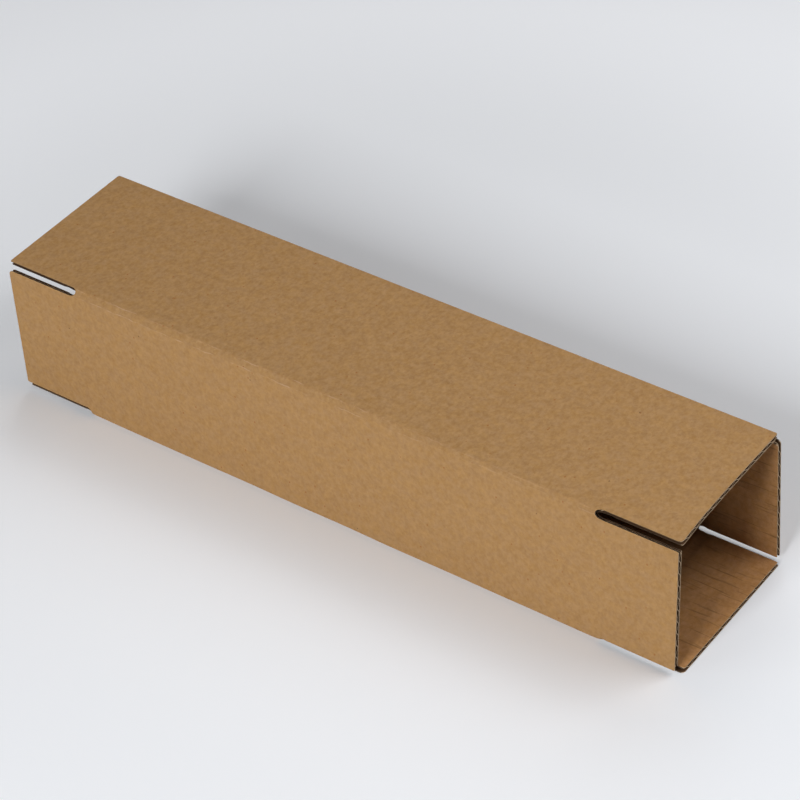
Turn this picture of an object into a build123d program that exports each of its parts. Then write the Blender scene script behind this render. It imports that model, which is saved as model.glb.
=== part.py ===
from build123d import *
import os
from math import cos, floor, radians, tan

# A long shipping carton of single-wall corrugated board, lying on one long side
# with both ends open. One sheet is folded at four long creases into a sleeve and
# closed by a glued lap at the upper back corner. Each end has four flaps, which
# stand straight out in line with the walls. The length and the flutes run along
# X, the front wall faces -Y, and the origin is the centre of the underside.

# The carton, in millimetres
carton_width = 74.0
carton_height = 65.0
side_score_span = 250.0
side_flap_depth = 32.5
cover_flap_depth = 30.9
flap_corner_radius = 1.2

# The board: two liners with a fluted medium between them
board = 2.5
liner = 0.35
medium = 0.3
flute_pitch = 6.0
flute_flank_degrees = 37.0

# Creases: the board is pressed flat for a short way on each side of a flap's crease
pressed_band = 2.0
crease_ease = 0.05
fold_bevel_share = 0.84
fold_softening_share = 0.4
inner_fold_share = 0.24

# Clearance between closed flaps, and between a flap and the walls beside it
flap_clearance = 0.1

# The glued tab under the upper wall
tab_width = 20.0
tab_end_setback = 4.0
tab_taper_degrees = 12.0

# How far every cutting shape runs past what it cuts
overrun = 1.0

# Places worked out from the sizes above
half_width = carton_width / 2
inner_half_width = half_width - board
side_score = side_score_span / 2
cover_score = side_score + board + flap_clearance
slot_width = 2 * (board + flap_clearance)
slot_root = side_score - slot_width / 2
back_top = carton_height - board
lap_edge = half_width - board - flap_clearance
tab_edge = inner_half_width - tab_width
mitre = board + crease_ease
fold_bevel = board * fold_bevel_share
fold_softening = board * fold_softening_share
inner_fold_radius = board * inner_fold_share

# Each wall's flap: how wide it is, and how far it reaches from its score
flap_sizes = {
    "top": (2 * lap_edge, cover_flap_depth),
    "bottom": (carton_width - slot_width, cover_flap_depth),
    "front": (carton_height - slot_width, side_flap_depth),
    "back": (back_top - slot_width, side_flap_depth),
}

os.makedirs("parts", exist_ok=True)


def hinge_plane(end, wall):
    """A flap's hinge line at the end 1 or -1: x runs out along the flap, z out of the wall."""
    out_along = (end, 0, 0)
    if wall == "top":
        return Plane((end * cover_score, 0, carton_height), out_along, (0, 0, 1))
    if wall == "bottom":
        return Plane((end * cover_score, 0, 0), out_along, (0, 0, -1))
    if wall == "front":
        return Plane((end * side_score, -half_width, carton_height / 2), out_along, (0, -1, 0))
    return Plane((end * side_score, half_width, back_top / 2), out_along, (0, 1, 0))


def crease_plane(hinge):
    """The plane across a hinge line: x runs out along the flap, y out of the wall."""
    return Plane(hinge.origin, hinge.x_dir, -hinge.y_dir)


def flute_plane(hinge, reach):
    """The plane across the flutes, this far out from the hinge line: y runs into the board,
    and the flutes run back towards the hinge line."""
    return Plane(hinge.origin + hinge.x_dir * reach, hinge.y_dir, -hinge.x_dir)


# One flute's hollow: its foot lies on a liner, its flanks leave the medium its thickness
# towards the hollows on either side, and its crown is round
flank_slope = tan(radians(flute_flank_degrees))
flank_stretch = 1 / cos(radians(flute_flank_degrees))
crown_height = board - 2 * liner - medium
flanks_meet = (board - 2 * liner + flank_slope * flute_pitch / 2 - flank_stretch * medium) / 2
flute_foot = flanks_meet / flank_slope
crown_radius = (flanks_meet - crown_height) / (flank_stretch - 1)
with BuildSketch() as flute_hollow:
    with BuildLine():
        Polyline((-flute_foot, 0), (flute_foot, 0), (0, flanks_meet), close=True)
    make_face()
    fillet(flute_hollow.vertices().sort_by(Axis.Y)[-1], crown_radius)


def outer_hollow():
    """Draws the hollow under the outer liner."""
    with Locations((0, liner)):
        add(flute_hollow.sketch)


def inner_hollow():
    """Draws the hollow over the inner liner."""
    with Locations((0, board - liner)):
        add(flute_hollow.sketch, rotation=180)


def cut_slot(panel):
    """Cuts a slot with a round root out of one panel. The plane lies on the panel's
    outer face, with its origin where the fold meets the side score."""
    with BuildSketch(panel.offset(overrun)) as slot:
        Circle(slot_width / 2)
        Rectangle(cover_score - side_score + overrun, slot_width, align=(Align.MIN, Align.CENTER))
    extrude(slot.sketch, amount=-(board + overrun), mode=Mode.SUBTRACT)


def cut_wall_end(wall):
    """Slopes a wall's end back from its hinge line, so that the flap can fold in."""
    hinge = hinge_plane(1, wall)
    width, depth = flap_sizes[wall]
    with BuildSketch(crease_plane(hinge)) as waste:
        with BuildLine():
            Polyline(
                (0, overrun),
                (0, 0),
                (-mitre, -board),
                (-mitre, -board - overrun),
                (mitre + overrun, -board - overrun),
                (mitre + overrun, overrun),
                close=True,
            )
        make_face()
    extrude(waste.sketch, amount=width / 2, both=True, mode=Mode.SUBTRACT)


# The sleeve's right half, mirrored at the end
with BuildPart() as sleeve:
    # The folded section, with a blunt double crease at each fold
    with BuildSketch(Plane.YZ) as section:
        with BuildLine():
            Polyline(
                (-half_width, 0),
                (half_width, 0),
                (half_width, back_top),
                (lap_edge, back_top),
                (lap_edge, carton_height),
                (-half_width, carton_height),
                close=True,
            )
        make_face()
        by_width = section.vertices().group_by(Axis.X)
        chamfer(by_width[0] + by_width[-1], fold_bevel)
        fillet(section.vertices(Select.LAST), fold_softening)
    extrude(amount=cover_score)

    # The inside steps in over the tab, and its folds are rounded as far as the slots
    inside_corners = [
        (-inner_half_width, board),
        (inner_half_width, board),
        (inner_half_width, back_top - board),
        (tab_edge, back_top - board),
        (tab_edge, back_top),
        (-inner_half_width, back_top),
    ]
    with BuildSketch(Plane.YZ) as inside:
        with BuildLine():
            Polyline(*inside_corners, close=True)
        make_face()
        by_width = inside.vertices().group_by(Axis.X)
        fillet(by_width[0] + by_width[-1], inner_fold_radius)
    extrude(amount=slot_root, mode=Mode.SUBTRACT)
    with BuildSketch(Plane.YZ.offset(slot_root)):
        with BuildLine():
            Polyline(*inside_corners, close=True)
        make_face()
    extrude(amount=cover_score - slot_root, mode=Mode.SUBTRACT)

    # A slot runs into each of the two panels that meet at a fold
    for side in (-1, 1):
        cut_slot(Plane((side_score, side * half_width, 0), (1, 0, 0), (0, 0, -1)))
        cut_slot(Plane((side_score, side * half_width, 0), (1, 0, 0), (0, side, 0)))
    cut_slot(Plane((side_score, -half_width, carton_height), (1, 0, 0), (0, 0, 1)))
    cut_slot(Plane((side_score, -half_width, carton_height), (1, 0, 0), (0, -1, 0)))
    cut_slot(Plane((side_score, half_width, back_top), (1, 0, 0), (0, 1, 0)))

    for wall in flap_sizes:
        cut_wall_end(wall)

    # The tab stops short of the score, and its end tapers
    tab_end = side_score - tab_end_setback
    tab_tip = tab_end - tab_width * tan(radians(tab_taper_degrees))
    with BuildSketch(Plane.XY.offset(back_top - board)):
        with BuildLine():
            Polyline(
                (tab_end, inner_half_width),
                (tab_tip, tab_edge),
                (tab_tip, tab_edge - overrun),
                (cover_score, tab_edge - overrun),
                (cover_score, inner_half_width),
                close=True,
            )
        make_face()
    extrude(amount=board, mode=Mode.SUBTRACT)

    # Flutes that show along the top wall's cut edge over the lap
    with BuildSketch(flute_plane(hinge_plane(1, "top"), -mitre - pressed_band)):
        with Locations((floor((lap_edge + flute_foot) / flute_pitch) * flute_pitch, 0)):
            inner_hollow()
        with Locations((floor(lap_edge / flute_pitch) * flute_pitch + flute_pitch / 2, 0)):
            outer_hollow()
    extrude(amount=cover_score - mitre - pressed_band, mode=Mode.SUBTRACT)

    # Flutes that show in the tab's cut edges
    tab_flutes = floor((tab_width - board - flute_foot) / flute_pitch - 1 / 2) + 1
    with BuildSketch(Plane((0, tab_edge, back_top), (0, 1, 0), (-1, 0, 0))):
        with GridLocations(flute_pitch, 0, tab_flutes, 1, align=(Align.MIN, Align.CENTER)):
            inner_hollow()
            with Locations((flute_pitch / 2, 0)):
                outer_hollow()
    extrude(amount=-side_score, mode=Mode.SUBTRACT)

    mirror(about=Plane.YZ)
sleeve.part.label = "sleeve"
export_step(sleeve.part, "parts/sleeve.step")


def make_flap(label, end, wall):
    """One flap: a sloped root at its hinge line, and flutes open at its cut edges."""
    hinge = hinge_plane(end, wall)
    width, depth = flap_sizes[wall]
    flutes_each_side = (width / 2 + flute_foot) / flute_pitch
    with BuildPart() as flap:
        with BuildSketch(crease_plane(hinge)):
            with BuildLine():
                Polyline((0, 0), (depth, 0), (depth, -board), (mitre, -board), close=True)
            make_face()
        extrude(amount=width / 2, both=True)
        fillet(flap.edges().filter_by(Axis(hinge.origin, hinge.z_dir)), flap_corner_radius)

        with BuildSketch(flute_plane(hinge, depth)):
            with GridLocations(flute_pitch, 0, 2 * floor(flutes_each_side) + 1, 1):
                inner_hollow()
            with GridLocations(flute_pitch, 0, 2 * floor(flutes_each_side + 1 / 2), 1):
                outer_hollow()
        extrude(amount=depth - mitre - pressed_band, mode=Mode.SUBTRACT)
    flap.part.label = label
    export_step(flap.part, f"parts/{label}.step")


for end_name, end in (("left", -1), ("right", 1)):
    for wall in flap_sizes:
        make_flap(f"{end_name}_{wall}_flap", end, wall)
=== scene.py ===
"""A long shipping carton of corrugated board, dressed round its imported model.

The carton is one die-cut blank, so everything is worked out on the flat blank first: x runs
along the flutes, t runs across the blank from the lap's cut edge, and depth runs in from the
outer face. The blank is then folded, ply by ply, into the carton.
"""

import math

import bpy
import numpy as np
from bpy.props import FloatProperty, FloatVectorProperty, IntProperty, PointerProperty
from mathutils import Matrix, Vector


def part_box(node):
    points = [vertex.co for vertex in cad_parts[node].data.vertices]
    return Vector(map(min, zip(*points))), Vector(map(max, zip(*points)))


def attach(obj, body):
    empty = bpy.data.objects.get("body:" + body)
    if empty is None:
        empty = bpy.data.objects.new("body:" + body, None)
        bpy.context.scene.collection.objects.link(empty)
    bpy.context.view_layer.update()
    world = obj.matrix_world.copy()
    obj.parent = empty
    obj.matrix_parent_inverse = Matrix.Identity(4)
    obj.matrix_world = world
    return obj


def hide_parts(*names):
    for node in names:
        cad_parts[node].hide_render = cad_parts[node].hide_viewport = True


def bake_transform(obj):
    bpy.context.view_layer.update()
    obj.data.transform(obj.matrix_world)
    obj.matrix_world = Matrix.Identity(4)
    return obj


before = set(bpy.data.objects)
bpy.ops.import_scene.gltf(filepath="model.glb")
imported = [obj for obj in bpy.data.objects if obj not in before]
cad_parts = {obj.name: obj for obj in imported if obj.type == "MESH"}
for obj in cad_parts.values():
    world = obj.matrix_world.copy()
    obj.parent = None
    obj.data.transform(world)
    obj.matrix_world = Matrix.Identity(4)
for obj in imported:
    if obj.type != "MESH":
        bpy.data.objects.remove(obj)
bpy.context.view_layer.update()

bl_info = {
    "name": "Shipping carton",
    "version": (1, 0, 0),
    "blender": (4, 5, 0),
    "location": "3D View > Sidebar > Carton",
    "description": "Builds a corrugated shipping carton, ply by ply, round its packed model",
    "category": "Object",
}

MM = 0.001

# Walls in their order across the blank, and the carton's two ends
WALLS = ("top", "front", "bottom", "back")
ENDS = (("left", -1), ("right", 1))

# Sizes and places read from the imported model
sleeve_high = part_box("sleeve")[1]
top_low, top_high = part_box("right_top_flap")
front_low, front_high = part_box("right_front_flap")
back_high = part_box("right_back_flap")[1]
HALF_WIDTH = sleeve_high.y
HEIGHT = sleeve_high.z
BOARD = top_high.z - top_low.z
LAP_EDGE = top_high.y
SLOT = front_low.z
BACK_TOP = back_high.z + SLOT
SIDE_SCORE = front_low.x
COVER_SCORE = top_low.x
SLOT_ROOT = SIDE_SCORE - SLOT
TIPS = {"top": top_high.x, "bottom": top_high.x, "front": front_high.x, "back": front_high.x}
SCORES = {"top": COVER_SCORE, "bottom": COVER_SCORE, "front": SIDE_SCORE, "back": SIDE_SCORE}

# Flap corners that have worn round: the wall, the end and the side of the wall, across the blank
WORN_CORNERS = {
    ("top", 1, "high"),
    ("back", 1, "high"),
    ("bottom", 1, "low"),
    ("front", -1, "low"),
}

# How many millimetres shorter a flap is cut, at even steps from the low to the high side of its
# wall, across the blank
END_SKEWS = {
    ("top", 1): (2.4, 2.5, 2.5, 2.2, 1.1),
    ("front", 1): (0.0, 1.6),
    ("back", 1): (0.0, 1.2),
    ("bottom", 1): (0.4, 0.0),
    ("top", -1): (0.2, 0.5),
    ("front", -1): (0.6, 0.0),
}

# Slot sides that are cut further into their flap: the wall, the end and the side of the wall
SIDE_TRIMS = {("front", -1, "high"): 1.7 * MM}

# A length past anything on the carton, and one too short to matter
FAR = 10.0
HAIR = 0.001 * MM

# Steps from -1 to 1 that a ridge is averaged over to round it
ROUNDING = np.linspace(-1, 1, 9)

# Mesh rows beside a fold or a cut edge, in millimetres from it, and where the even rows start
WALL_EDGE_ROWS = np.array([0, 0.35, 0.8, 1.3, 1.8, 2.3, 2.8, 3.4, 4.2])
TAB_EDGE_ROWS = np.array([0, 0.35, 0.8, 1.3, 1.8, 2.5, 3.4, 4.2])
EVEN_ROWS_START = 5 * MM

# Edges that turn by more than these angles stay sharp
LINER_SHARP_ANGLE = math.radians(35)
FLUTE_SHARP_ANGLE = math.radians(50)


def length(name, description, default):
    """A property that holds a length."""
    return FloatProperty(name=name, description=description, default=default, unit="LENGTH")


def shade(name, description, default):
    """A property that holds a colour."""
    return FloatVectorProperty(
        name=name, description=description, default=default, subtype="COLOR")


class CartonSizes(bpy.types.PropertyGroup):
    """Sizes of the board and of its creases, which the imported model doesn't give"""

    flute_pitch: length("Flute pitch", "From one flute's tip to the next", 6.0 * MM)
    liner: length("Liner", "Thickness of each liner", 0.35 * MM)
    medium: length("Medium", "Thickness of the fluted medium", 0.36 * MM)
    washboard: length(
        "Washboard", "How far the outer liner sinks between the flute tips", 0.035 * MM)
    inner_washboard: length(
        "Inner washboard", "How far the inner liner sinks between the tips", 0.09 * MM)
    bevel: length("Fold bevel", "From a long fold's corner to each of its two ridges", 2.1 * MM)
    ridge: length("Ridge rounding", "Half the width over which a fold's ridge rounds", 0.55 * MM)
    inner_ridge: length(
        "Inner rounding", "Half the width over which the inner fold rounds", 0.5 * MM)
    crease_reach: length("Crease reach", "How far the bending strip reaches past the hinge", SLOT)
    crease_dent: length(
        "Crease dent", "Depth of the dent that a flap's crease leaves outside", 0.1 * MM)
    crease_groove: length(
        "Crease groove", "Depth of the groove of a flap's crease inside", 0.5 * MM)
    edge_crush: length("Edge crush", "How far each face is pressed in at a cut end", 0.06 * MM)
    slot_crush: length(
        "Slot crush", "How far each face is pressed in along a slot's side", 0.12 * MM)
    flute_setback: length(
        "Flute setback", "How far the medium stands back from a slot's side", 1.3 * MM)
    bow: length("Bow", "How far the walls bow in between their folds", 0.25 * MM)
    corner: length("Corner radius", "Rounding of a flap's sharp outer corner", 0.6 * MM)
    worn_corner: length("Worn corner radius", "Rounding of a flap's worn outer corner", 2.0 * MM)
    tab_width: length("Tab width", "Width of the glued tab", 20.0 * MM)
    tab_setback: length("Tab setback", "From the side score to the tab's end", 4.0 * MM)
    tab_taper: FloatProperty(
        name="Tab taper", description="Angle of the tab's ends",
        default=math.radians(12.0), subtype="ANGLE")
    row_step: length("Row step", "Distance between the mesh rows of a liner", 1.0 * MM)
    column_step: length("Column step", "Distance between the mesh columns", 5.0 * MM)
    flute_rows: IntProperty(
        name="Flute rows", description="Mesh rows along one flute's wave", default=10)


class CartonColours(bpy.types.PropertyGroup):
    """Colours of the board and of the stage"""

    outer: shade("Outer liner", "Brown kraft of the outer faces", (0.40, 0.227, 0.092))
    outer_light: shade("Worn ridge", "Stretched fibres along a folded ridge", (0.50, 0.33, 0.20))
    inner: shade("Inner liner", "Kraft of the inner faces", (0.44, 0.225, 0.088))
    medium: shade("Medium", "The fluted medium and the liners' hidden faces", (0.10, 0.052, 0.026))
    edge: shade("Cut edge", "Pale fibres in the cut edges of the paper", (0.58, 0.42, 0.27))
    speck: shade("Specks", "Sparse dark fibres in the inner liner", (0.11, 0.06, 0.03))
    floor: shade("Floor", "The pale floor, as it lights the carton", (0.78, 0.79, 0.80))
    floor_seen: shade(
        "Floor as seen", "The pale floor, as the camera sees it", (0.945, 0.965, 1.0))


def sizes():
    """The carton's sizes, as the user has set them."""
    return bpy.context.scene.carton_sizes


def colours():
    """The carton's colours, as the user has set them."""
    return bpy.context.scene.carton_colours


# The folded section

def section_corners():
    """The outer corners of the folded section in y and z, in order from the lap's cut edge to the
    tab's, and how far across the blank each one lies."""
    tab_edge = HALF_WIDTH - BOARD - sizes().tab_width
    corners = np.array([
        (LAP_EDGE, HEIGHT),
        (-HALF_WIDTH, HEIGHT),
        (-HALF_WIDTH, 0.0),
        (HALF_WIDTH, 0.0),
        (HALF_WIDTH, BACK_TOP),
        (tab_edge, BACK_TOP),
    ])
    steps = np.hypot(*np.diff(corners, axis=0).T)
    return corners, np.concatenate([[0.0], np.cumsum(steps)])


def wall_span(wall):
    """Where a wall starts and ends across the blank."""
    across = section_corners()[1]
    start = WALLS.index(wall)
    return across[start], across[start + 1]


def on_wall(wall, t):
    """Whether each t lies on this wall."""
    low, high = wall_span(wall)
    return (t >= low) & (t <= high)


def nearest_fold(t):
    """Which fold lies nearest to each t, and the signed distance from it."""
    folds = section_corners()[1][1:-1]
    which = np.abs(t[..., None] - folds).argmin(-1)
    return which, t - folds[which]


def smooth(value):
    """A smooth step from 0 to 1."""
    share = np.clip(value, 0.0, 1.0)
    return share * share * (3 - 2 * share)


def waves(x, t, lengths, seed):
    """A slow wobble from -1 to 1: a few sine waves of these lengths in turned directions."""
    draw = np.random.default_rng(seed)
    total = np.zeros(np.broadcast(x, t).shape)
    for length in lengths:
        angle, phase = draw.uniform(0, 2 * math.pi, 2)
        total += np.sin((x * math.cos(angle) + t * math.sin(angle)) * 2 * math.pi / length + phase)
    return total / len(lengths)


def fold_bevel(x, which):
    """How far from its corner each ridge of a fold lies: it wanders along the fold, and the
    front fold tightens towards the right end."""
    fold_apart = 0.37
    tight_from, tight_over = -20 * MM, 120 * MM
    front_share, other_share, wander_share = 0.45, 0.15, 0.10
    wander = waves(x, which * fold_apart, (31 * MM, 47 * MM, 83 * MM), seed=11)
    tighter = np.where(
        which == 0, front_share * smooth((x - tight_from) / tight_over), other_share)
    return sizes().bevel * (1 - tighter + wander_share * wander)


def fold_points(x, t, depth):
    """The folded place of points on the flat blank. Between its straight walls the outer face
    runs over a blunt double ridge, and the inner face round a small radius."""
    corners, _ = section_corners()
    set_size = sizes()
    x, t, depth = np.broadcast_arrays(x, t, depth)
    which, s = nearest_fold(t)
    corner = corners[which + 1]
    before = corners[which + 1] - corners[which]
    before = before / np.linalg.norm(before, axis=-1, keepdims=True)
    after = corners[which + 2] - corners[which + 1]
    after = after / np.linalg.norm(after, axis=-1, keepdims=True)

    # Shares of the two walls' directions, averaged over a short stretch to round the ridges
    bevel = fold_bevel(x, which)[..., None]
    moved = s[..., None] + ROUNDING * set_size.ridge
    back_part = np.minimum(0, np.minimum(moved, (moved - bevel) / 2)).mean(-1, keepdims=True)
    on_part = np.maximum(0, np.maximum(moved, (moved + bevel) / 2)).mean(-1, keepdims=True)
    outer = corner + before * back_part + after * on_part

    # The inner face is shorter than the outer one, so near the fold it is drawn together
    reach = BOARD * 1.6
    size = np.abs(s)
    drawn = np.sign(s) * np.maximum(size - BOARD, size * (reach - BOARD) / reach)
    moved = drawn[..., None] + ROUNDING * set_size.inner_ridge
    back_part = np.minimum(0, moved).mean(-1, keepdims=True)
    on_part = np.maximum(0, moved).mean(-1, keepdims=True)
    inner = corner + (after - before) * BOARD + before * back_part + after * on_part

    share = (depth / BOARD)[..., None]
    section = outer * (1 - share) + inner * share
    return np.concatenate([x[..., None], section], axis=-1)


# The board's faces

def off_folds(t, start, over=2 * MM):
    """0 near the long folds, and 1 further from them than this start and a short way over."""
    _, s = nearest_fold(t)
    return smooth((np.abs(s) - start) / over)


def flap_share(t):
    """1 between the slots and 0 on the long folds, where no flap's crease runs."""
    return off_folds(t, SLOT - 1.0 * MM, 1.0 * MM)


def flute_rise(t):
    """How high the medium stands at each t: 1 at the outer liner and 0 at the inner one."""
    return 0.5 + 0.5 * np.cos(2 * math.pi * t / sizes().flute_pitch)


def off_score(x, t):
    """How far past its flap's score each point lies, towards the tip."""
    score = np.full(t.shape, FAR)
    for wall in WALLS:
        score = np.where(on_wall(wall, t), SCORES[wall], score)
    return np.abs(x) - score


def side_distance(x, t):
    """How far each point lies from the nearest edge that is cut along the flutes."""
    across = section_corners()[1]
    x = np.abs(x)
    nearest = np.minimum(t, across[-1] - t)
    for fold in across[1:-1]:
        beside = np.abs(t - fold)
        slot = np.where(x < SIDE_SCORE, np.hypot(x - SIDE_SCORE, beside), beside) - SLOT
        nearest = np.minimum(nearest, slot)
    return np.maximum(nearest, 0.0)


def end_distance(x, t):
    """How far each point lies from its flap's cut end."""
    nearest = np.full(np.broadcast(x, t).shape, FAR)
    for wall in WALLS:
        for _, end in ENDS:
            tip = TIPS[wall] - end_skew(wall, end, t)
            nearest = np.where(on_wall(wall, t) & (x * end > 0), tip - np.abs(x), nearest)
    return np.maximum(nearest, 0.0)


def crush_depth(x, t):
    """How far each face is pressed in near a cut edge. Between two flutes a liner has nothing
    under it, so a cut along them presses it in further."""
    side_fade, end_fade = 0.7 * MM, 0.4 * MM
    beside = sizes().slot_crush * np.exp(-side_distance(x, t) / side_fade)
    at_end = sizes().edge_crush * np.exp(-end_distance(x, t) / end_fade)
    return beside + at_end


def bow_depth(x, t):
    """How far the board bows in: nothing at the folds and at the flaps, most at the lap edge."""
    bowed = np.zeros(np.broadcast(x, t).shape)
    for wall in WALLS:
        low, high = wall_span(wall)
        share = np.clip((t - low) / (high - low), 0, 1)
        arch = np.sin(share * math.pi)
        start = 1.0 if wall == "top" else arch
        bowed += np.where((share > 0) & (share < 1), start * arch, 0.0)
    flat_end, fade = 8 * MM, 60 * MM
    along = smooth((SLOT_ROOT - flat_end - np.abs(x)) / fade)
    uneven = 0.6 + 0.4 * waves(x, t, (90 * MM, 150 * MM), seed=5)
    return sizes().bow * bowed * along * uneven


def outer_depth(x, t):
    """How far the outer face lies below the model's outer face."""
    set_size = sizes()
    dent_width = 0.9 * MM
    sunk = set_size.washboard * (1 - flute_rise(t)) * off_folds(t, 2 * MM)
    dent = set_size.crease_dent * np.exp(-(off_score(x, t) / dent_width) ** 2) * flap_share(t)
    return sunk + dent + crush_depth(x, t) + bow_depth(x, t)


def inner_depth(x, t):
    """How far the inner face lies below the model's outer face. At a flap's crease the board is
    pressed into a groove."""
    set_size = sizes()
    sunk = set_size.inner_washboard * flute_rise(t) * off_folds(t, 3 * MM)
    steepness = 1.1
    from_score = np.abs(off_score(x, t)) / set_size.crease_reach
    groove = set_size.crease_groove * smooth(steepness * (1 - from_score)) * flap_share(t)
    return BOARD - sunk - crush_depth(x, t) - groove + bow_depth(x, t)


# The flat blank

def tidy_places(places, least=0.03 * MM):
    """Sorted places, without those that nearly coincide."""
    kept = []
    for place in sorted(places):
        if not kept or place - kept[-1] > least:
            kept.append(place)
    return np.array(kept)


def spread(low, high, step):
    """Evenly spaced places from low to high, about a step apart."""
    return np.linspace(low, high, max(2, round((high - low) / step) + 1))


def wall_rows(wall, step):
    """Places across one wall, closer together by its folds and cut edges."""
    low, high = wall_span(wall)
    near = WALL_EDGE_ROWS * MM
    middle = spread(low + EVEN_ROWS_START, high - EVEN_ROWS_START, step)
    return np.concatenate([low + near, middle, high - near[::-1]])


def end_columns(wall):
    """Places along one end of a wall and its flap, from the slot's root to the tip."""
    set_size = sizes()
    score, tip, reach = SCORES[wall], TIPS[wall], set_size.crease_reach
    round_steps, crease_steps, flap_step = 7, 13, set_size.column_step * 0.7
    quarter = np.linspace(0, math.pi / 2, round_steps)
    root = SIDE_SCORE - SLOT * np.cos(quarter)
    crease = score + reach * np.linspace(-1, 1, crease_steps)
    flap = spread(score + reach, tip - set_size.worn_corner, flap_step)
    worn = tip - set_size.worn_corner * (1 - np.sin(quarter))
    sharp = tip - set_size.corner * (1 - np.sin(quarter[::2]))
    return tidy_places(np.concatenate([root, crease, flap, worn, sharp]))


def slot_edge(x):
    """How far from the fold the slot's side lies, at each place along the wall."""
    before = np.clip(SIDE_SCORE - x, 0, SLOT)
    return np.sqrt(SLOT ** 2 - before ** 2)


def corner_edge(x, wall, end, side):
    """How far in from the flap's side its rounded corner lies."""
    worn = (wall, end, side) in WORN_CORNERS
    radius = sizes().worn_corner if worn else sizes().corner
    past = np.clip(x - (TIPS[wall] - radius), 0, radius)
    return radius - np.sqrt(radius ** 2 - past ** 2)


def end_skew(wall, end, t):
    """How much shorter than its full length a flap is cut, at each t."""
    low, high = wall_span(wall)
    skews = END_SKEWS.get((wall, end), (0.0,))
    steps = np.linspace(low, high, len(skews))
    return np.interp(t, steps, skews) * MM


def end_grid(wall, end, step, setback=0.0):
    """One end of a wall with its flap, as a grid of x and t. Beside the slots and corners the
    rows are pressed together, so that the grid's edge follows the cut, or stands back from it."""
    low, high = wall_span(wall)
    x = end_columns(wall)
    rows = wall_rows(wall, step)

    def cut_edge(side):
        back = setback + SIDE_TRIMS.get((wall, end, side), 0.0)
        return corner_edge(x, wall, end, side) + slot_edge(x) * (1 + back / SLOT)

    at_low = corner_edge(x, wall, end, "low") if wall == "top" else cut_edge("low")
    at_high = cut_edge("high")
    near = 9 * MM
    from_low = (rows - low)[:, None]
    from_high = (high - rows)[:, None]
    t = np.broadcast_to(rows[:, None], (len(rows), len(x))).copy()
    t += np.where(from_low < near, at_low * (1 - from_low / near), 0)
    t -= np.where(from_high < near, at_high * (1 - from_high / near), 0)
    flap_start = SCORES[wall] + sizes().crease_reach
    along_flap = np.clip((x - flap_start) / (TIPS[wall] - flap_start), 0, 1)
    return x - end_skew(wall, end, t) * along_flap, t


class Blank:
    """A flat piece of the blank, as grids of four-sided faces that are welded together."""

    def __init__(self):
        self.points = []
        self.faces = []
        self.count = 0

    def add_grid(self, x, t, end=1):
        """Adds a grid, on the left end if end is -1."""
        x = x * end
        if end < 0:
            x, t = x[:, ::-1], t[:, ::-1]
        rows, columns = x.shape
        index = self.count + np.arange(rows * columns).reshape(rows, columns)
        self.points.append(np.stack([x, t], -1).reshape(-1, 2))
        self.faces.append(np.stack([
            index[:-1, :-1], index[1:, :-1], index[1:, 1:], index[:-1, 1:],
        ], -1).reshape(-1, 4))
        self.count += rows * columns

    def welded(self):
        """The points, each only once, and the faces between them."""
        points = np.concatenate(self.points)
        faces = np.concatenate(self.faces)
        _, first, turned = np.unique(
            np.round(points / HAIR).astype(np.int64), axis=0, return_index=True,
            return_inverse=True)
        return points[first], turned.reshape(-1)[faces]


def sleeve_blank(step, setback=0.0):
    """The sleeve's share of the blank: four walls, the tab and the walls' ends."""
    set_size = sizes()
    blank = Blank()
    middle_end = SLOT_ROOT - 4 * MM
    middle = spread(-middle_end, middle_end, set_size.column_step)
    ends = SLOT_ROOT - np.array([2.0, 0.8, 0.0]) * MM
    x = np.concatenate([-ends[::-1], middle, ends])
    for wall in WALLS:
        rows = wall_rows(wall, step)
        blank.add_grid(*np.broadcast_arrays(x[None, :], rows[:, None]))
        for _, end in ENDS:
            grid_x, grid_t = end_grid(wall, end, step, setback)
            on_sleeve = grid_x[0] < SCORES[wall] - set_size.crease_reach + HAIR
            if on_sleeve.sum() > 1:
                blank.add_grid(grid_x[:, on_sleeve], grid_t[:, on_sleeve], end)

    # The tab's ends taper, past a short stretch where its fold leaves the slots' roots
    fold, edge = section_corners()[1][-2:]
    rows = np.concatenate([
        fold + TAB_EDGE_ROWS * MM, spread(fold + EVEN_ROWS_START, edge, step)])
    past_fold = rows - fold
    tab_end = SIDE_SCORE - set_size.tab_setback
    tapered = tab_end - (past_fold - BOARD) * math.tan(set_size.tab_taper)
    leaving = SLOT_ROOT + (tab_end - SLOT_ROOT) * past_fold / BOARD
    ends_at = np.where(past_fold < BOARD, leaving, tapered)
    grid_x = x[None, :] / SLOT_ROOT * ends_at[:, None]
    blank.add_grid(grid_x, np.broadcast_to(rows[:, None], grid_x.shape))
    return blank.welded()


def end_blank(wall, end, step, setback, low, high):
    """The part of a wall's end that lies between two distances past its score."""
    blank = Blank()
    x, t = end_grid(wall, end, step, setback)
    past_score = x[0] - SCORES[wall]
    inside = (past_score > low - HAIR) & (past_score < high + HAIR)
    blank.add_grid(x[:, inside], t[:, inside], end)
    return blank.welded()


def flap_blank(wall, end, step, setback=0.0):
    """One flap's share of the blank."""
    return end_blank(wall, end, step, setback, sizes().crease_reach, FAR)


def crease_blank(wall, end, step, setback=0.0):
    """The strip of the blank that bends when one flap is folded."""
    reach = sizes().crease_reach
    return end_blank(wall, end, step, setback, -reach, reach)


# Plies: the folded blank with a thickness

OUTER_LOOK, INNER_LOOK, HIDDEN_LOOK, EDGE_LOOK = range(4)


def boundary(faces):
    """The edges that only one face has, in that face's direction."""
    edges = np.concatenate([faces[:, [k, (k + 1) % 4]] for k in range(4)])
    known = dict.fromkeys(map(tuple, edges.tolist()))
    return np.array([edge for edge in known if (edge[1], edge[0]) not in known])


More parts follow.
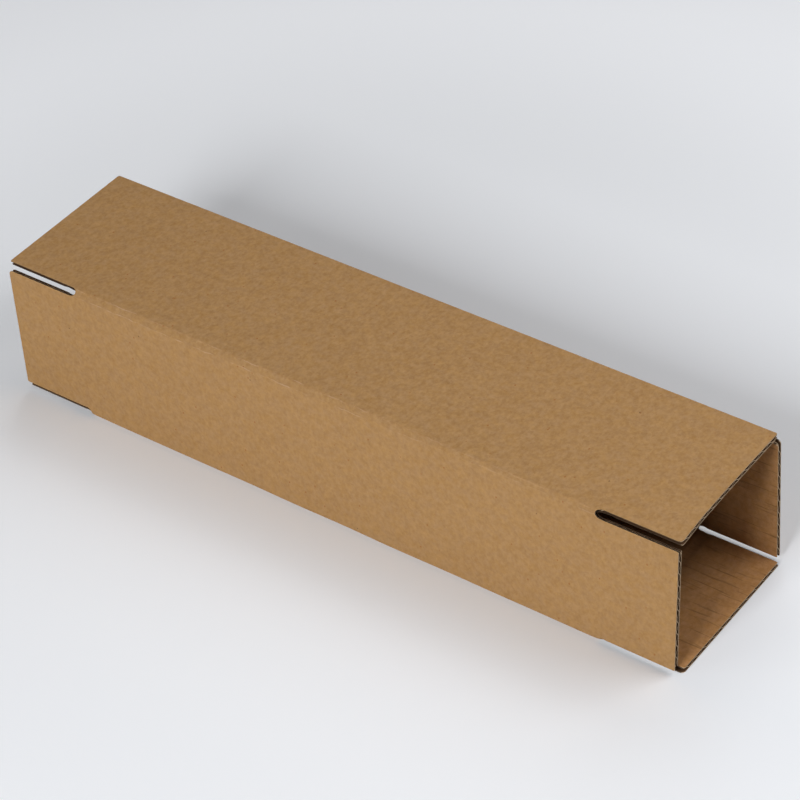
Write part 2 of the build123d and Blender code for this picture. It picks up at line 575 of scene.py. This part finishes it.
def ply(blank, top, bottom, looks):
    """One ply between two depths, as arrays: its points, its faces, each face's material, and
    each point's place on the blank. looks gives the materials of top, bottom and cut edge."""
    points, faces = blank
    x, t = points.T
    over = fold_points(x, t, top)
    under = fold_points(x, t, bottom)
    count = len(points)
    rim = boundary(faces)
    rim_faces = np.stack([rim[:, 1], rim[:, 0], rim[:, 0] + count, rim[:, 1] + count], -1)
    every_face = np.concatenate([faces, faces[:, ::-1] + count, rim_faces])
    look = np.concatenate([
        np.full(len(faces), looks[0]),
        np.full(len(faces), looks[1]),
        np.full(len(rim_faces), looks[2]),
    ])
    on_sheet = np.concatenate([
        np.stack([x, t, np.broadcast_to(top, x.shape)], -1),
        np.stack([x, t, np.broadcast_to(bottom, x.shape)], -1),
    ])
    return np.concatenate([over, under]), every_face, look, on_sheet


def join(plies):
    """Several plies as one set of arrays."""
    points, faces, looks, on_sheet = [], [], [], []
    count = 0
    for ply_points, ply_faces, ply_looks, ply_sheet in plies:
        points.append(ply_points)
        faces.append(ply_faces + count)
        looks.append(ply_looks)
        on_sheet.append(ply_sheet)
        count += len(ply_points)
    return tuple(np.concatenate(part) for part in (points, faces, looks, on_sheet))


def liner_arrays(blank):
    """The outer and the inner liner of one piece of the blank."""
    x, t = blank[0].T
    outside, inside, liner = outer_depth(x, t), inner_depth(x, t), sizes().liner
    return join([
        ply(blank, outside, outside + liner, (OUTER_LOOK, HIDDEN_LOOK, EDGE_LOOK)),
        ply(blank, inside - liner, inside, (HIDDEN_LOOK, INNER_LOOK, EDGE_LOOK)),
    ])


def fold_marks(on_sheet):
    """For each point, what a fold's worn ridges need: the distance from the nearest fold, the
    ridges' own distance from it, and how worn they are, which is less towards the right end of
    the front fold."""
    x, t, _ = on_sheet.T
    which, s = nearest_fold(t)
    less_from, less_over = -30 * MM, 100 * MM
    front_worn = 1 - 0.5 * smooth((x - less_from) / less_over)
    other_worn = 0.6
    return np.stack([s, fold_bevel(x, which), np.where(which == 0, front_worn, other_worn)], -1)


def set_vectors(mesh, name, values):
    """Stores a vector for each point of a mesh."""
    attribute = mesh.attributes.new(name, "FLOAT_VECTOR", "POINT")
    attribute.data.foreach_set("vector", values.astype(np.float32).ravel())


def link(name, data):
    """A new object in the scene."""
    made = bpy.data.objects.new(name, data)
    bpy.context.scene.collection.objects.link(made)
    return made


def make_object(name, arrays):
    """A mesh object of folded board, with its place on the blank kept for its materials."""
    points, faces, looks, on_sheet = arrays
    mesh = bpy.data.meshes.new(name)
    mesh.from_pydata(points.tolist(), [], faces.tolist())
    for material in ("outer_kraft_liner", "inner_kraft_liner", "fluted_medium", "cut_liner_edge"):
        mesh.materials.append(bpy.data.materials[material])
    mesh.polygons.foreach_set("material_index", looks.astype(np.int32))
    mesh.polygons.foreach_set("use_smooth", np.ones(len(faces), bool))
    set_vectors(mesh, "sheet", on_sheet)
    set_vectors(mesh, "fold", fold_marks(on_sheet))
    mesh.set_sharp_from_angle(angle=LINER_SHARP_ANGLE)
    mesh.update()
    return link(name, mesh)


# Nodes

class Nodes:
    """A short way to write the nodes of a material, of the world or of a geometry group."""

    def __init__(self, tree):
        self.nodes = tree.nodes
        self.links = tree.links

    def put(self, socket, value):
        """Links a node's output to a socket, or sets the socket to a value or a colour."""
        if isinstance(value, bpy.types.NodeSocket):
            self.links.new(value, socket)
        elif socket.type == "RGBA":
            socket.default_value = (*value, 1.0)
        else:
            socket.default_value = value

    def add(self, kind, inputs=(), **settings):
        """A new node with these settings, and with a value or a link in each of these inputs."""
        node = self.nodes.new(kind)
        for name, value in settings.items():
            setattr(node, name, value)
        for name, value in dict(inputs).items():
            self.put(node.inputs[name], value)
        return node

    def calc(self, operation, first, *others):
        """One operation on a value, or along several of them."""
        if not others:
            return self.add("ShaderNodeMath", {0: first}, operation=operation).outputs[0]
        for other in others:
            node = self.add("ShaderNodeMath", {0: first, 1: other}, operation=operation)
            first = node.outputs[0]
        return first

    def parts(self, vector):
        """The three parts of a vector."""
        return self.add("ShaderNodeSeparateXYZ", {0: vector}).outputs

    def seen(self):
        """1 where a surface is seen by the camera, by itself or through gloss or glass."""
        ray = self.add("ShaderNodeLightPath").outputs
        return self.calc(
            "MAXIMUM", ray["Is Camera Ray"], ray["Is Glossy Ray"], ray["Is Transmission Ray"])


class Shader(Nodes):
    """The nodes of one new material."""

    def __init__(self, name):
        self.material = bpy.data.materials.new(name)
        self.material.use_nodes = True
        super().__init__(self.material.node_tree)
        self.skin = self.nodes["Principled BSDF"].inputs

    def attribute(self, name):
        """The vector that the mesh stores for each point under this name."""
        return self.add("ShaderNodeAttribute", attribute_name=name).outputs["Vector"]

    def stretch(self, vector, scale, turn=0.0):
        """The vector scaled along each axis, and then turned about the last one."""
        return self.add("ShaderNodeMapping", {
            "Vector": vector, "Scale": scale, "Rotation": (0, 0, turn)}).outputs[0]

    def noise(self, vector, scale, detail=3.0, rough=0.55):
        """Soft noise, from 0 to 1."""
        return self.add("ShaderNodeTexNoise", {
            "Vector": vector, "Scale": scale, "Detail": detail, "Roughness": rough,
        }).outputs["Fac"]

    def cells(self, vector, scale):
        """The distance from the middle of the nearest cell, and that cell's own colour."""
        node = self.add("ShaderNodeTexVoronoi", {"Vector": vector, "Scale": scale})
        return node.outputs["Distance"], node.outputs["Color"]

    def span(self, value, low, high, to_low=0.0, to_high=1.0):
        """A smooth step from one number to another, as the value goes from low to high."""
        inputs = dict(enumerate((value, low, high, to_low, to_high)))
        node = self.add("ShaderNodeMapRange", inputs, interpolation_type="SMOOTHSTEP")
        return node.outputs[0]

    def blend(self, share, first, second, way="MIX"):
        """A colour that goes from the first to the second with the share."""
        node = self.add("ShaderNodeMix", data_type="RGBA", blend_type=way)
        self.put(node.inputs["Factor"], share)
        for socket, value in zip((s for s in node.inputs if s.type == "RGBA"), (first, second)):
            self.put(socket, value)
        return next(s for s in node.outputs if s.type == "RGBA")

    def curls(self, vector, scale):
        """Short curled lines, where a smooth noise crosses its middle in some places."""
        middle, half_width, patch_share = 0.5, 0.022, 0.6
        off_middle = self.calc("SUBTRACT", self.noise(vector, scale, 1.0), middle)
        line = self.span(self.calc("ABSOLUTE", off_middle), 0.0, half_width, 1.0, 0.0)
        some = self.span(self.noise(vector, scale * patch_share, 1.0), 0.5, 0.6)
        return self.calc("MULTIPLY", line, some)

    def bump(self, height, distance, strength):
        """Shades the surface as if it were raised by the height times the distance."""
        node = self.add("ShaderNodeBump", {
            "Distance": distance, "Strength": strength, "Height": height})
        self.put(self.skin["Normal"], node.outputs[0])

    def finish(self, colour, grain, roughness, gloss):
        """Sets the colour, a roughness between two values that follows the grain, and the gloss."""
        self.put(self.skin["Base Color"], colour)
        self.put(self.skin["Roughness"], self.span(grain, 0.2, 0.8, *roughness))
        self.put(self.skin["Specular IOR Level"], gloss)


# The fluted medium

def flute_tree():
    """A node group that raises a flat ply into flutes: each point moves along its own rise by a
    wave that runs across the blank."""
    tree = bpy.data.node_groups.new("flute_wave", "GeometryNodeTree")
    tree.interface.new_socket("Geometry", in_out="INPUT", socket_type="NodeSocketGeometry")
    pitch = tree.interface.new_socket("Pitch", in_out="INPUT", socket_type="NodeSocketFloat")
    tree.interface.new_socket("Material", in_out="INPUT", socket_type="NodeSocketMaterial")
    tree.interface.new_socket("Geometry", in_out="OUTPUT", socket_type="NodeSocketGeometry")
    pitch.default_value = sizes().flute_pitch
    group = Nodes(tree)
    given = group.add("NodeGroupInput").outputs

    def stored(kind, name):
        node = group.add("GeometryNodeInputNamedAttribute", {"Name": name}, data_type=kind)
        return node.outputs["Attribute"]

    across = group.parts(stored("FLOAT_VECTOR", "sheet"))[1]
    turns = group.calc("DIVIDE", across, given["Pitch"])
    wave = group.calc("COSINE", group.calc("MULTIPLY", turns, 2 * math.pi))
    share = group.calc("ADD", group.calc("MULTIPLY", wave, 0.5), 0.5)
    rise = group.add("ShaderNodeVectorMath", operation="SCALE")
    group.put(rise.inputs[0], stored("FLOAT_VECTOR", "rise"))
    group.put(rise.inputs["Scale"], share)
    raised = group.add("GeometryNodeSetPosition", {
        "Geometry": given["Geometry"], "Offset": rise.outputs[0]})
    realized = group.add("GeometryNodeRealizeInstances", {"Geometry": raised.outputs[0]})
    painted = group.add("GeometryNodeSetMaterial", {
        "Geometry": realized.outputs[0], "Selection": stored("BOOLEAN", "uncut"),
        "Material": given["Material"]})
    group.add("NodeGroupOutput", {"Geometry": painted.outputs[0]})
    return tree


def make_fluting(name, blank):
    """The fluted medium of one piece of the blank."""
    set_size = sizes()
    x, t = blank[0].T
    liner, medium = set_size.liner, set_size.medium
    highest = outer_depth(x, t) + liner
    lowest = inner_depth(x, t) - liner
    arrays = ply(blank, lowest - medium, lowest, (HIDDEN_LOOK, HIDDEN_LOOK, EDGE_LOOK))
    flat = make_object(name + "_flat", arrays)
    uncut = flat.data.attributes.new("uncut", "BOOLEAN", "FACE")
    uncut.data.foreach_set("value", arrays[2] == HIDDEN_LOOK)
    rise = fold_points(x, t, highest) - fold_points(x, t, lowest - medium)
    set_vectors(flat.data, "rise", np.concatenate([rise, rise]))
    tree = bpy.data.node_groups.get("flute_wave") or flute_tree()
    modifier = flat.modifiers.new("flutes", "NODES")
    modifier.node_group = tree
    given = {"Pitch": set_size.flute_pitch, "Material": bpy.data.materials["fluted_medium"]}
    for item in tree.interface.items_tree:
        if item.in_out == "INPUT" and item.name in given:
            modifier[item.identifier] = given[item.name]
    evaluated = flat.evaluated_get(bpy.context.evaluated_depsgraph_get())
    mesh = bpy.data.meshes.new_from_object(evaluated)
    mesh.name = name
    bpy.data.objects.remove(flat)
    mesh.set_sharp_from_angle(angle=FLUTE_SHARP_ANGLE)
    return link(name, mesh)


def make_board(name, blank, *place, liner_step=None):
    """The liners and the fluting of one piece. blank gives the piece's share of the flat blank at
    a place, from the step between the mesh rows and from how far the medium stands back."""
    set_size = sizes()
    step = set_size.flute_pitch / set_size.flute_rows
    liners = make_object(name + "_liners", liner_arrays(blank(*place, liner_step or step)))
    fluting = make_fluting(name + "_fluting", blank(*place, step, set_size.flute_setback))
    return liners, fluting


# Materials

def scaled(colour, *factors):
    """A colour made lighter or darker, by one factor or by one for each channel."""
    if len(factors) == 1:
        factors = factors * 3
    return tuple(part * factor for part, factor in zip(colour, factors))


def kraft_base(shader, sheet, colour, contrast=1.0):
    """Mottled kraft: clouds and blotches, a fine formation, curled fibres, and a drift between a
    warmer and a greener brown. Gives the formation and the fibres too."""
    cloud_scale, blotch_scale, formation_scale = 45.0, 290.0, 600.0
    cloud_share, blotch_share, formation_share, fibre_share = 0.05, 0.23, 0.27, 0.26
    drawn_out = (1.25, 1.0, 1.0)
    clouds = shader.noise(sheet, cloud_scale, 2.0)
    blotches = shader.noise(shader.stretch(sheet, drawn_out, 0.9), blotch_scale, 2.0)
    formation = shader.noise(shader.stretch(sheet, drawn_out), formation_scale, 2.0, 0.6)
    pale = shader.curls(shader.stretch(sheet, (1.0, 1.3, 1.0), 0.3), 330.0)
    dark = shader.curls(shader.stretch(sheet, (1.2, 1.0, 1.0), 2.1), 300.0)
    fibres = shader.calc(
        "SUBTRACT", shader.calc("MULTIPLY", pale, fibre_share),
        shader.calc("MULTIPLY", dark, fibre_share))
    tone = shader.calc(
        "ADD",
        shader.span(clouds, 0.3, 0.7, -cloud_share, cloud_share),
        shader.span(blotches, 0.25, 0.75, -blotch_share, blotch_share),
        shader.span(formation, 0.25, 0.75, -formation_share, formation_share),
        fibres)
    tone = shader.calc("ADD", shader.calc("MULTIPLY", tone, contrast), 0.5)
    deeper, paler = scaled(colour, 0.855, 0.81, 0.72), scaled(colour, 1.145, 1.19, 1.28)
    colour = shader.blend(tone, deeper, paler)

    # The brown drifts in small and in larger patches, by as much in each
    drift_at = shader.stretch(sheet, (1.0, 1.2, 1.0), 0.7)
    warmth = shader.calc("ADD", *(
        shader.span(shader.noise(drift_at, scale), 0.3, 0.7, 0.0, 0.5) for scale in (400.0, 150.0)))
    drift = shader.blend(warmth, (0.96, 0.98, 1.08), (1.04, 1.02, 0.92))
    return shader.blend(1.0, colour, drift, "MULTIPLY"), formation, fibres


def add_specks(shader, sheet, colour, share, scale, size, dark):
    """Scattered coloured fibres: a dot of about this size in a share of the cells."""
    distance, chance = shader.cells(shader.stretch(sheet, (1.0, 0.7, 1.0), 0.6), scale)
    few = shader.calc("GREATER_THAN", shader.parts(chance)[0], 1 - share)
    dot = shader.span(distance, 0.25 * size * scale, 0.6 * size * scale, 1.0, 0.0)
    return shader.blend(shader.calc("MULTIPLY", few, dot), colour, dark)


def outer_liner_material():
    """Brown kraft with specks, wrinkled along the folds, with lighter fibres on their ridges."""
    shader = Shader("outer_kraft_liner")
    tones = colours()
    outer = tuple(tones.outer)
    sheet = shader.attribute("sheet")

    # The mottle stands out more on the top wall than on the others
    top_contrast, wall_contrast = 1.03, 0.80
    front_fold = float(wall_span("front")[0])
    contrast = shader.span(
        shader.parts(sheet)[1], front_fold - 2 * MM, front_fold + 2 * MM,
        top_contrast, wall_contrast)
    colour, formation, fibres = kraft_base(shader, sheet, outer, contrast)
    rusty, dark = scaled(outer, 0.86, 0.64, 0.50), scaled(outer, 0.42)
    colour = add_specks(shader, sheet, colour, 0.22, 340.0, 0.75 * MM, rusty)
    colour = add_specks(shader, sheet, colour, 0.14, 170.0, 0.6 * MM, dark)

    # Between a fold's two ridges the liner is wrinkled and a little duller
    dulled, wobble_reach = (0.94, 0.94, 0.94), 0.45 * MM
    from_fold, ridge_at, worn = shader.parts(shader.attribute("fold"))
    wobble = shader.span(shader.noise(sheet, 210.0, 3.0), 0.2, 0.8, -wobble_reach, wobble_reach)
    beside = shader.calc("ADD", shader.calc("ABSOLUTE", from_fold), wobble)
    past_ridge = shader.calc("SUBTRACT", beside, ridge_at)
    between = shader.span(past_ridge, -0.5 * MM, 0.3 * MM, 1.0, 0.0)
    colour = shader.blend(between, colour, dulled, "MULTIPLY")
    wrinkles = shader.noise(shader.stretch(sheet, (900, 260, 900), 0.5), 1.0, 3.0)
    wrinkled = shader.calc("MULTIPLY", wrinkles, between, worn)

    # The ridges' fibres are stretched, in broken lines
    line = shader.span(shader.calc("ABSOLUTE", past_ridge), 0.06 * MM, 0.34 * MM, 0.7, 0.0)
    patchy = shader.span(shader.noise(sheet, 120.0, 4.0, 0.6), 0.44, 0.60)
    line = shader.calc("MULTIPLY", line, patchy, worn)
    colour = shader.blend(line, colour, tuple(tones.outer_light))
    shader.finish(colour, formation, (0.78, 0.92), 0.18)
    height = shader.calc(
        "ADD", shader.calc("MULTIPLY", formation, 0.5), fibres,
        shader.calc("MULTIPLY", wrinkled, 3.0))
    shader.bump(height, 0.04 * MM, 0.25)


def inner_liner_material():
    """Kraft with fine uneven streaks that follow the flutes, with painted shade that darkens it
    towards the inside of the sleeve.
    """
    shader = Shader("inner_kraft_liner")
    tones = colours()
    inner = tuple(tones.inner)
    sheet = shader.attribute("sheet")
    colour, formation, _ = kraft_base(shader, sheet, inner)
    streaks = shader.noise(shader.stretch(sheet, (55, 1000, 1000)), 1.0, 4.0, 0.6)
    colour = shader.blend(shader.span(streaks, 0.54, 0.68, 0.0, 0.62), colour, scaled(inner, 0.38))
    colour = add_specks(shader, sheet, colour, 0.08, 150.0, 0.7 * MM, tuple(tones.speck))
    # Painted shade: towards the inside of the sleeve, and a little way into the flaps' roots, the
    # liner is blended towards the dark medium colour
    along = shader.calc("ABSOLUTE", shader.parts(sheet)[0])
    painted_inside_shade = shader.span(along, SLOT_ROOT - 6 * MM, SLOT_ROOT + 24 * MM, 0.65, 0.0)
    colour = shader.blend(painted_inside_shade, colour, tuple(tones.medium))
    shader.finish(colour, formation, (0.72, 0.9), 0.15)
    height = shader.calc("ADD", formation, shader.calc("MULTIPLY", streaks, -0.8))
    shader.bump(height, 0.05 * MM, 0.5)


def medium_material():
    """The rougher, duller paper of the flutes."""
    shader = Shader("fluted_medium")
    sheet = shader.attribute("sheet")
    colour, formation, _ = kraft_base(shader, sheet, tuple(colours().medium))
    shader.finish(colour, formation, (0.82, 0.95), 0.1)
    shader.bump(formation, 0.05 * MM, 0.5)


def edge_material():
    """Torn fibres in the cut edges of the liners."""
    shader = Shader("cut_liner_edge")
    edge = tuple(colours().edge)
    sheet = shader.attribute("sheet")
    fibres = shader.noise(shader.stretch(sheet, (2200, 2200, 9000)), 1.0, 3.0)
    colour = shader.blend(shader.span(fibres, 0.3, 0.7), scaled(edge, 0.65), scaled(edge, 1.2))

    # The slots are punched, which leaves their sides pressed; painted shade darkens the cut edges
    # along the slots' sides, standing in for the shade inside the slots
    from_fold = shader.calc("ABSOLUTE", shader.parts(shader.attribute("fold"))[0])
    painted_slot_shade = shader.span(from_fold, SLOT + 0.15 * MM, SLOT + 0.5 * MM, 1.0, 0.0)
    colour = shader.blend(painted_slot_shade, colour, scaled(edge, 0.2))
    shader.finish(colour, fibres, (0.85, 0.97), 0.15)
    shader.bump(fibres, 0.08 * MM, 0.7)


# The stage

FLOOR_REACH = 6.0
FLOOR_ROUGHNESS, FLOOR_GLOSS = 0.6, 0.2
PAINTED_FLOOR_LIGHT_COLOUR = (0.95, 0.96, 1.0)

# Painted light on the floor as seen, a glow from one distance from its middle to another: a little
# further out the floor is made to look paler, and past the lamps' reach it stays pale
PAINTED_FLOOR_LIGHTS = ((0.20, 0.36, 0.125), (0.60, 2.20, 0.60))

SKY_COLOUR = (0.96, 0.98, 1.0)
SKY_LIGHT, SKY_SEEN = 0.02, 0.80

# The camera where the photograph was taken from, worked out from the box's corners: its focal
# length and the picture's side in pixels, its angles in degrees, and where the middle of the
# underside lies in the camera's own axes, in millimetres
FOCAL_PX, PICTURE_PX, SENSOR_MM = 2889.9, 800, 36.0
CAMERA_AZIMUTH, CAMERA_ELEVATION, CAMERA_ROLL = 38.396, 39.709, -4.321
MIDDLE_FROM_CAMERA = Vector((-5.019, -28.175, -1150.62))

# Each lamp's name, its azimuth from the front towards the right end and its elevation in degrees,
# its distance and size in metres, its light and its colour. The light is the share of a white
# surface's full brightness that the lamp gives a surface that faces it
LAMPS = (
    ("front_lamp", 8, 34, 1.5, 0.45, 0.65, (0.98, 0.99, 1.0)),
    ("left_lamp", -35, 24, 1.6, 1.0, 0.12, (1.0, 1.0, 1.0)),
    ("right_lamp", 116, 54, 0.8, 0.4, 0.33, (0.99, 0.99, 1.0)),
    ("back_lamp", -165, 52, 1.5, 0.9, 0.20, (1.0, 0.98, 0.96)),
)


def make_floor():
    """A pale floor that runs out of sight."""
    shader = Shader("pale_floor")
    tones = colours()
    seen = shader.seen()
    colour = shader.blend(seen, tuple(tones.floor), tuple(tones.floor_seen))
    place = shader.add("ShaderNodeTexCoord").outputs["Object"]
    off_middle = shader.add(
        "ShaderNodeVectorMath", {0: place}, operation="LENGTH").outputs["Value"]
    # Painted light: the floor glows for the camera, more strongly further from its middle
    painted_light = shader.calc("ADD", *(
        shader.span(off_middle, near, far, 0.0, strength)
        for near, far, strength in PAINTED_FLOOR_LIGHTS))
    shader.put(shader.skin["Base Color"], colour)
    shader.put(shader.skin["Emission Color"], PAINTED_FLOOR_LIGHT_COLOUR)
    shader.put(shader.skin["Emission Strength"], shader.calc("MULTIPLY", seen, painted_light))
    shader.put(shader.skin["Roughness"], FLOOR_ROUGHNESS)
    shader.put(shader.skin["Specular IOR Level"], FLOOR_GLOSS)
    mesh = bpy.data.meshes.new("floor")
    corners = [
        (x * FLOOR_REACH, y * FLOOR_REACH, 0) for x, y in ((-1, -1), (1, -1), (1, 1), (-1, 1))]
    mesh.from_pydata(corners, [], [(0, 1, 2, 3)])
    mesh.materials.append(shader.material)
    link("floor", mesh)


def direction(azimuth, elevation):
    """The way to a place at this azimuth from the front towards the right end, and at this
    elevation, in degrees."""
    azimuth, elevation = math.radians(azimuth), math.radians(elevation)
    return Vector((
        math.sin(azimuth) * math.cos(elevation),
        -math.cos(azimuth) * math.cos(elevation),
        math.sin(elevation),
    ))


def make_camera():
    """The camera at the photograph's viewing angle."""
    back = direction(CAMERA_AZIMUTH, CAMERA_ELEVATION)
    right = Vector((0, 0, 1)).cross(back).normalized()
    up = back.cross(right)
    roll = math.radians(CAMERA_ROLL)
    turned_right = right * math.cos(roll) + up * math.sin(roll)
    turned_up = up * math.cos(roll) - right * math.sin(roll)
    turn = Matrix((turned_right, turned_up, back)).transposed()
    place = -(turn @ (MIDDLE_FROM_CAMERA * MM))
    camera = link("camera", bpy.data.cameras.new("camera"))
    camera.data.sensor_width = SENSOR_MM
    camera.data.lens = FOCAL_PX / PICTURE_PX * SENSOR_MM
    camera.data.clip_start = 0.05
    camera.data.clip_end = 50.0
    camera.matrix_world = Matrix.LocRotScale(place, turn.to_quaternion(), None)
    bpy.context.scene.camera = camera


def add_lamp(name, azimuth, elevation, distance, size, light, colour):
    """A square soft lamp that looks at the carton and that the camera doesn't see."""
    lamp = link(name, bpy.data.lights.new(name, "AREA"))
    lamp.data.size = size
    lamp.data.energy = light * (math.pi * distance) ** 2
    lamp.data.color = colour
    lamp.visible_camera = False
    lamp.location = distance * direction(azimuth, elevation)
    lamp.rotation_euler = (-lamp.location).to_track_quat("-Z", "Y").to_euler()


def make_sky():
    """A faint even light from all round, that is seen as a pale backdrop."""
    world = bpy.data.worlds.new("plain_light")
    world.use_nodes = True
    sky = Nodes(world.node_tree)
    background = sky.nodes["Background"].inputs
    sky.put(background["Color"], SKY_COLOUR)
    strength = sky.calc("ADD", sky.calc("MULTIPLY", sky.seen(), SKY_SEEN), SKY_LIGHT)
    sky.put(background["Strength"], strength)
    bpy.context.scene.world = world


# Operators

def every_flap():
    """Each flap's place in words, such as left_top, with its wall and its end, 1 or -1."""
    for end_name, end in ENDS:
        for wall in WALLS:
            yield f"{end_name}_{wall}", wall, end


class CARTON_OT_materials(bpy.types.Operator):
    """Mix the kraft liners, the medium and the cut edges"""

    bl_idname = "carton.materials"
    bl_label = "Board materials"

    def execute(self, context):
        outer_liner_material()
        inner_liner_material()
        medium_material()
        edge_material()
        return {"FINISHED"}


class CARTON_OT_sleeve(bpy.types.Operator):
    """Fold the four walls and the glued tab into the sleeve"""

    bl_idname = "carton.sleeve"
    bl_label = "Sleeve"

    def execute(self, context):
        liners, fluting = make_board("sleeve", sleeve_blank, liner_step=sizes().row_step)
        for piece in (liners, fluting):
            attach(piece, "sleeve")
        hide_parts("sleeve")
        return {"FINISHED"}


class CARTON_OT_flaps(bpy.types.Operator):
    """Cut the eight flaps, with their flutes open at the cut edges"""

    bl_idname = "carton.flaps"
    bl_label = "Flaps"

    def execute(self, context):
        for place, wall, end in every_flap():
            body = place + "_flap"
            liners, fluting = make_board(body, flap_blank, wall, end)
            for piece in (liners, fluting):
                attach(piece, body)
            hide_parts(body)
        return {"FINISHED"}


class CARTON_OT_creases(bpy.types.Operator):
    """Press the eight creases, the strips between the walls and their flaps"""

    bl_idname = "carton.creases"
    bl_label = "Creases"

    def execute(self, context):
        for place, wall, end in every_flap():
            for piece in make_board(place + "_crease", crease_blank, wall, end):
                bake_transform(piece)
        return {"FINISHED"}


class CARTON_OT_stage(bpy.types.Operator):
    """Set the floor, the soft light and the camera"""

    bl_idname = "carton.stage"
    bl_label = "Stage"

    def execute(self, context):
        make_floor()
        make_camera()
        for lamp in LAMPS:
            add_lamp(*lamp)
        make_sky()
        context.scene.view_settings.view_transform = "Standard"
        return {"FINISHED"}


OPERATORS = (
    CARTON_OT_materials,
    CARTON_OT_sleeve,
    CARTON_OT_flaps,
    CARTON_OT_creases,
    CARTON_OT_stage,
)


class CARTON_PT_panel(bpy.types.Panel):
    """Lists the carton's sizes, colours and steps"""

    bl_idname = "CARTON_PT_panel"
    bl_label = "Shipping carton"
    bl_space_type = "VIEW_3D"
    bl_region_type = "UI"
    bl_category = "Carton"

    def draw(self, context):
        column = self.layout.column()
        for group in (context.scene.carton_sizes, context.scene.carton_colours):
            for name in group.__annotations__:
                column.prop(group, name)
        for operator in OPERATORS:
            column.operator(operator.bl_idname)


CLASSES = (CartonSizes, CartonColours, *OPERATORS, CARTON_PT_panel)


def register():
    for made in CLASSES:
        bpy.utils.register_class(made)
    bpy.types.Scene.carton_sizes = PointerProperty(type=CartonSizes)
    bpy.types.Scene.carton_colours = PointerProperty(type=CartonColours)


def unregister():
    del bpy.types.Scene.carton_colours
    del bpy.types.Scene.carton_sizes
    for made in reversed(CLASSES):
        bpy.utils.unregister_class(made)


def main():
    register()
    bpy.ops.carton.materials()
    bpy.ops.carton.sleeve()
    bpy.ops.carton.flaps()
    bpy.ops.carton.creases()
    bpy.ops.carton.stage()


if __name__ == "__main__":
    main()
